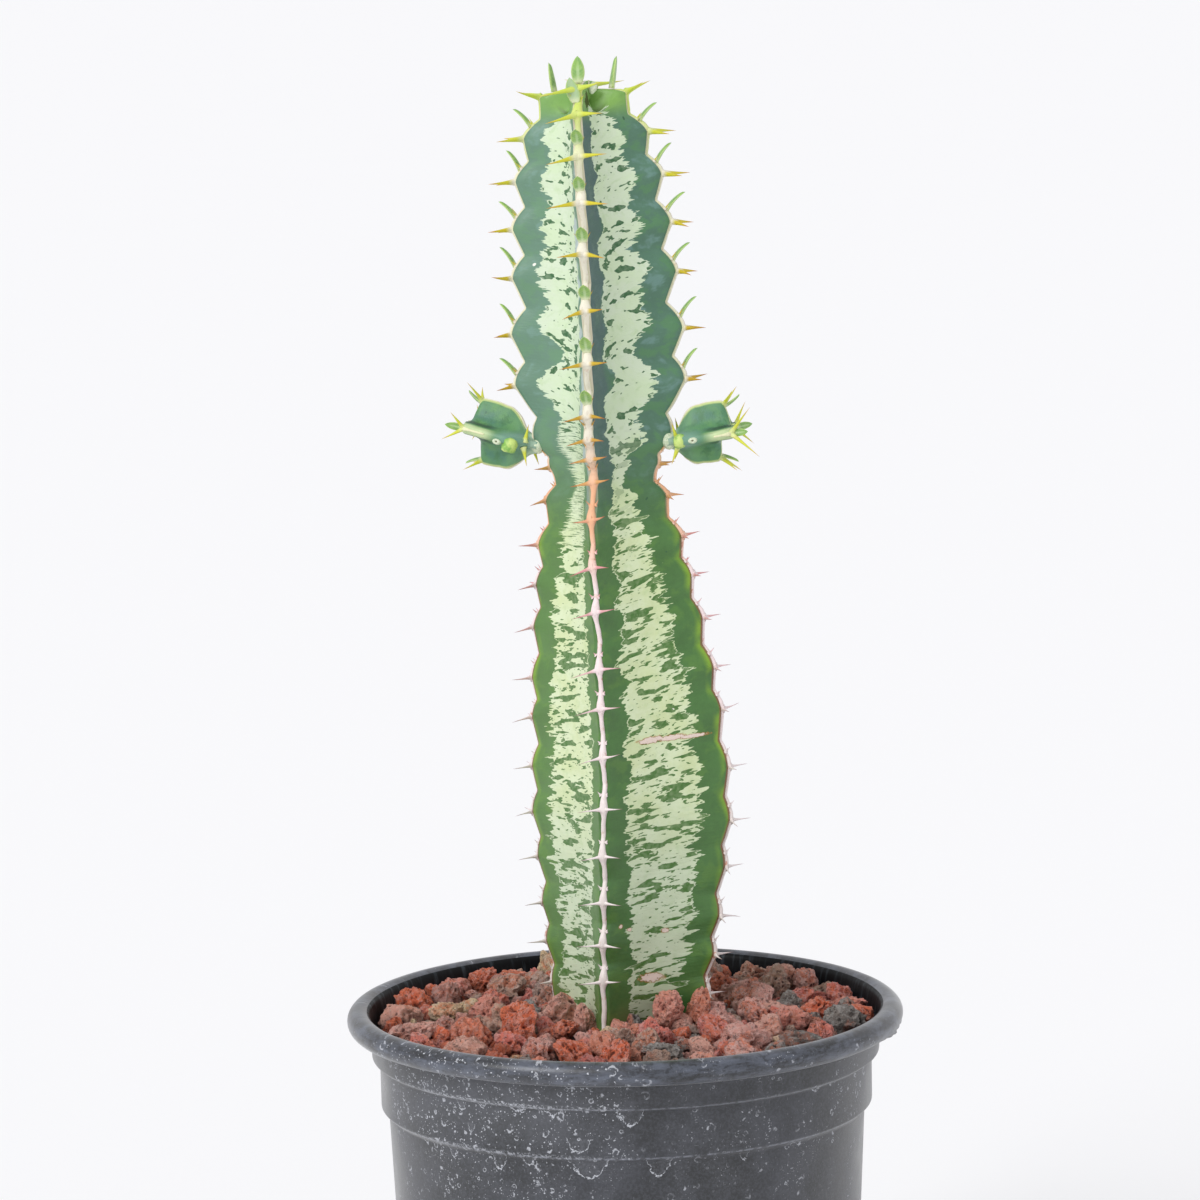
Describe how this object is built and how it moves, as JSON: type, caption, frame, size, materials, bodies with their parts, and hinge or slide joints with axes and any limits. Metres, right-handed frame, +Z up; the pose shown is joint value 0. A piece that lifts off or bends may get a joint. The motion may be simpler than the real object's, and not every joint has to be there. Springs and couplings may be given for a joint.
{
  "type": "potted euphorbia",
  "caption": "Variegated ribbed columnar euphorbia with spined horny rib margins, small leaves and side shoots, standing in a filled round nursery pot topped with lava gravel.",
  "frame": {"origin": "centre of the pot's foot, on the surface it stands on", "axes": "+Z up along the pot's axis, -Y towards the viewer of the picture, +X to the viewer's right"},
  "size_m": [0.1398, 0.1398, 0.3587],
  "materials": {
    "pot_plastic": "dark grey moulded plastic, satin, with pale lime scale spots and drip marks",
    "soil": "dark brown crumbly peat mix, dull",
    "lava": "porous broken lava in orange red, brick, pinkish brown and grey, dull",
    "stem_skin": "waxy green plant skin with ragged pale mint bands and dark flecks",
    "horn": "dry horny rib edge, cream and pinkish white, with yellow to pink spines",
    "shoot_skin": "waxy bluish green young skin with cream edges"
  },
  "bodies": {
    "root": {"pot": "pot_plastic", "potting_mix": "soil", "lava_gravel": "lava", "stem": "stem_skin", "rib_margin_front": "horn", "rib_margin_right": "horn", "rib_margin_back": "horn", "rib_margin_left": "horn", "shoot_left": "shoot_skin", "shoot_right": "shoot_skin"}
  },
  "joints": []
}
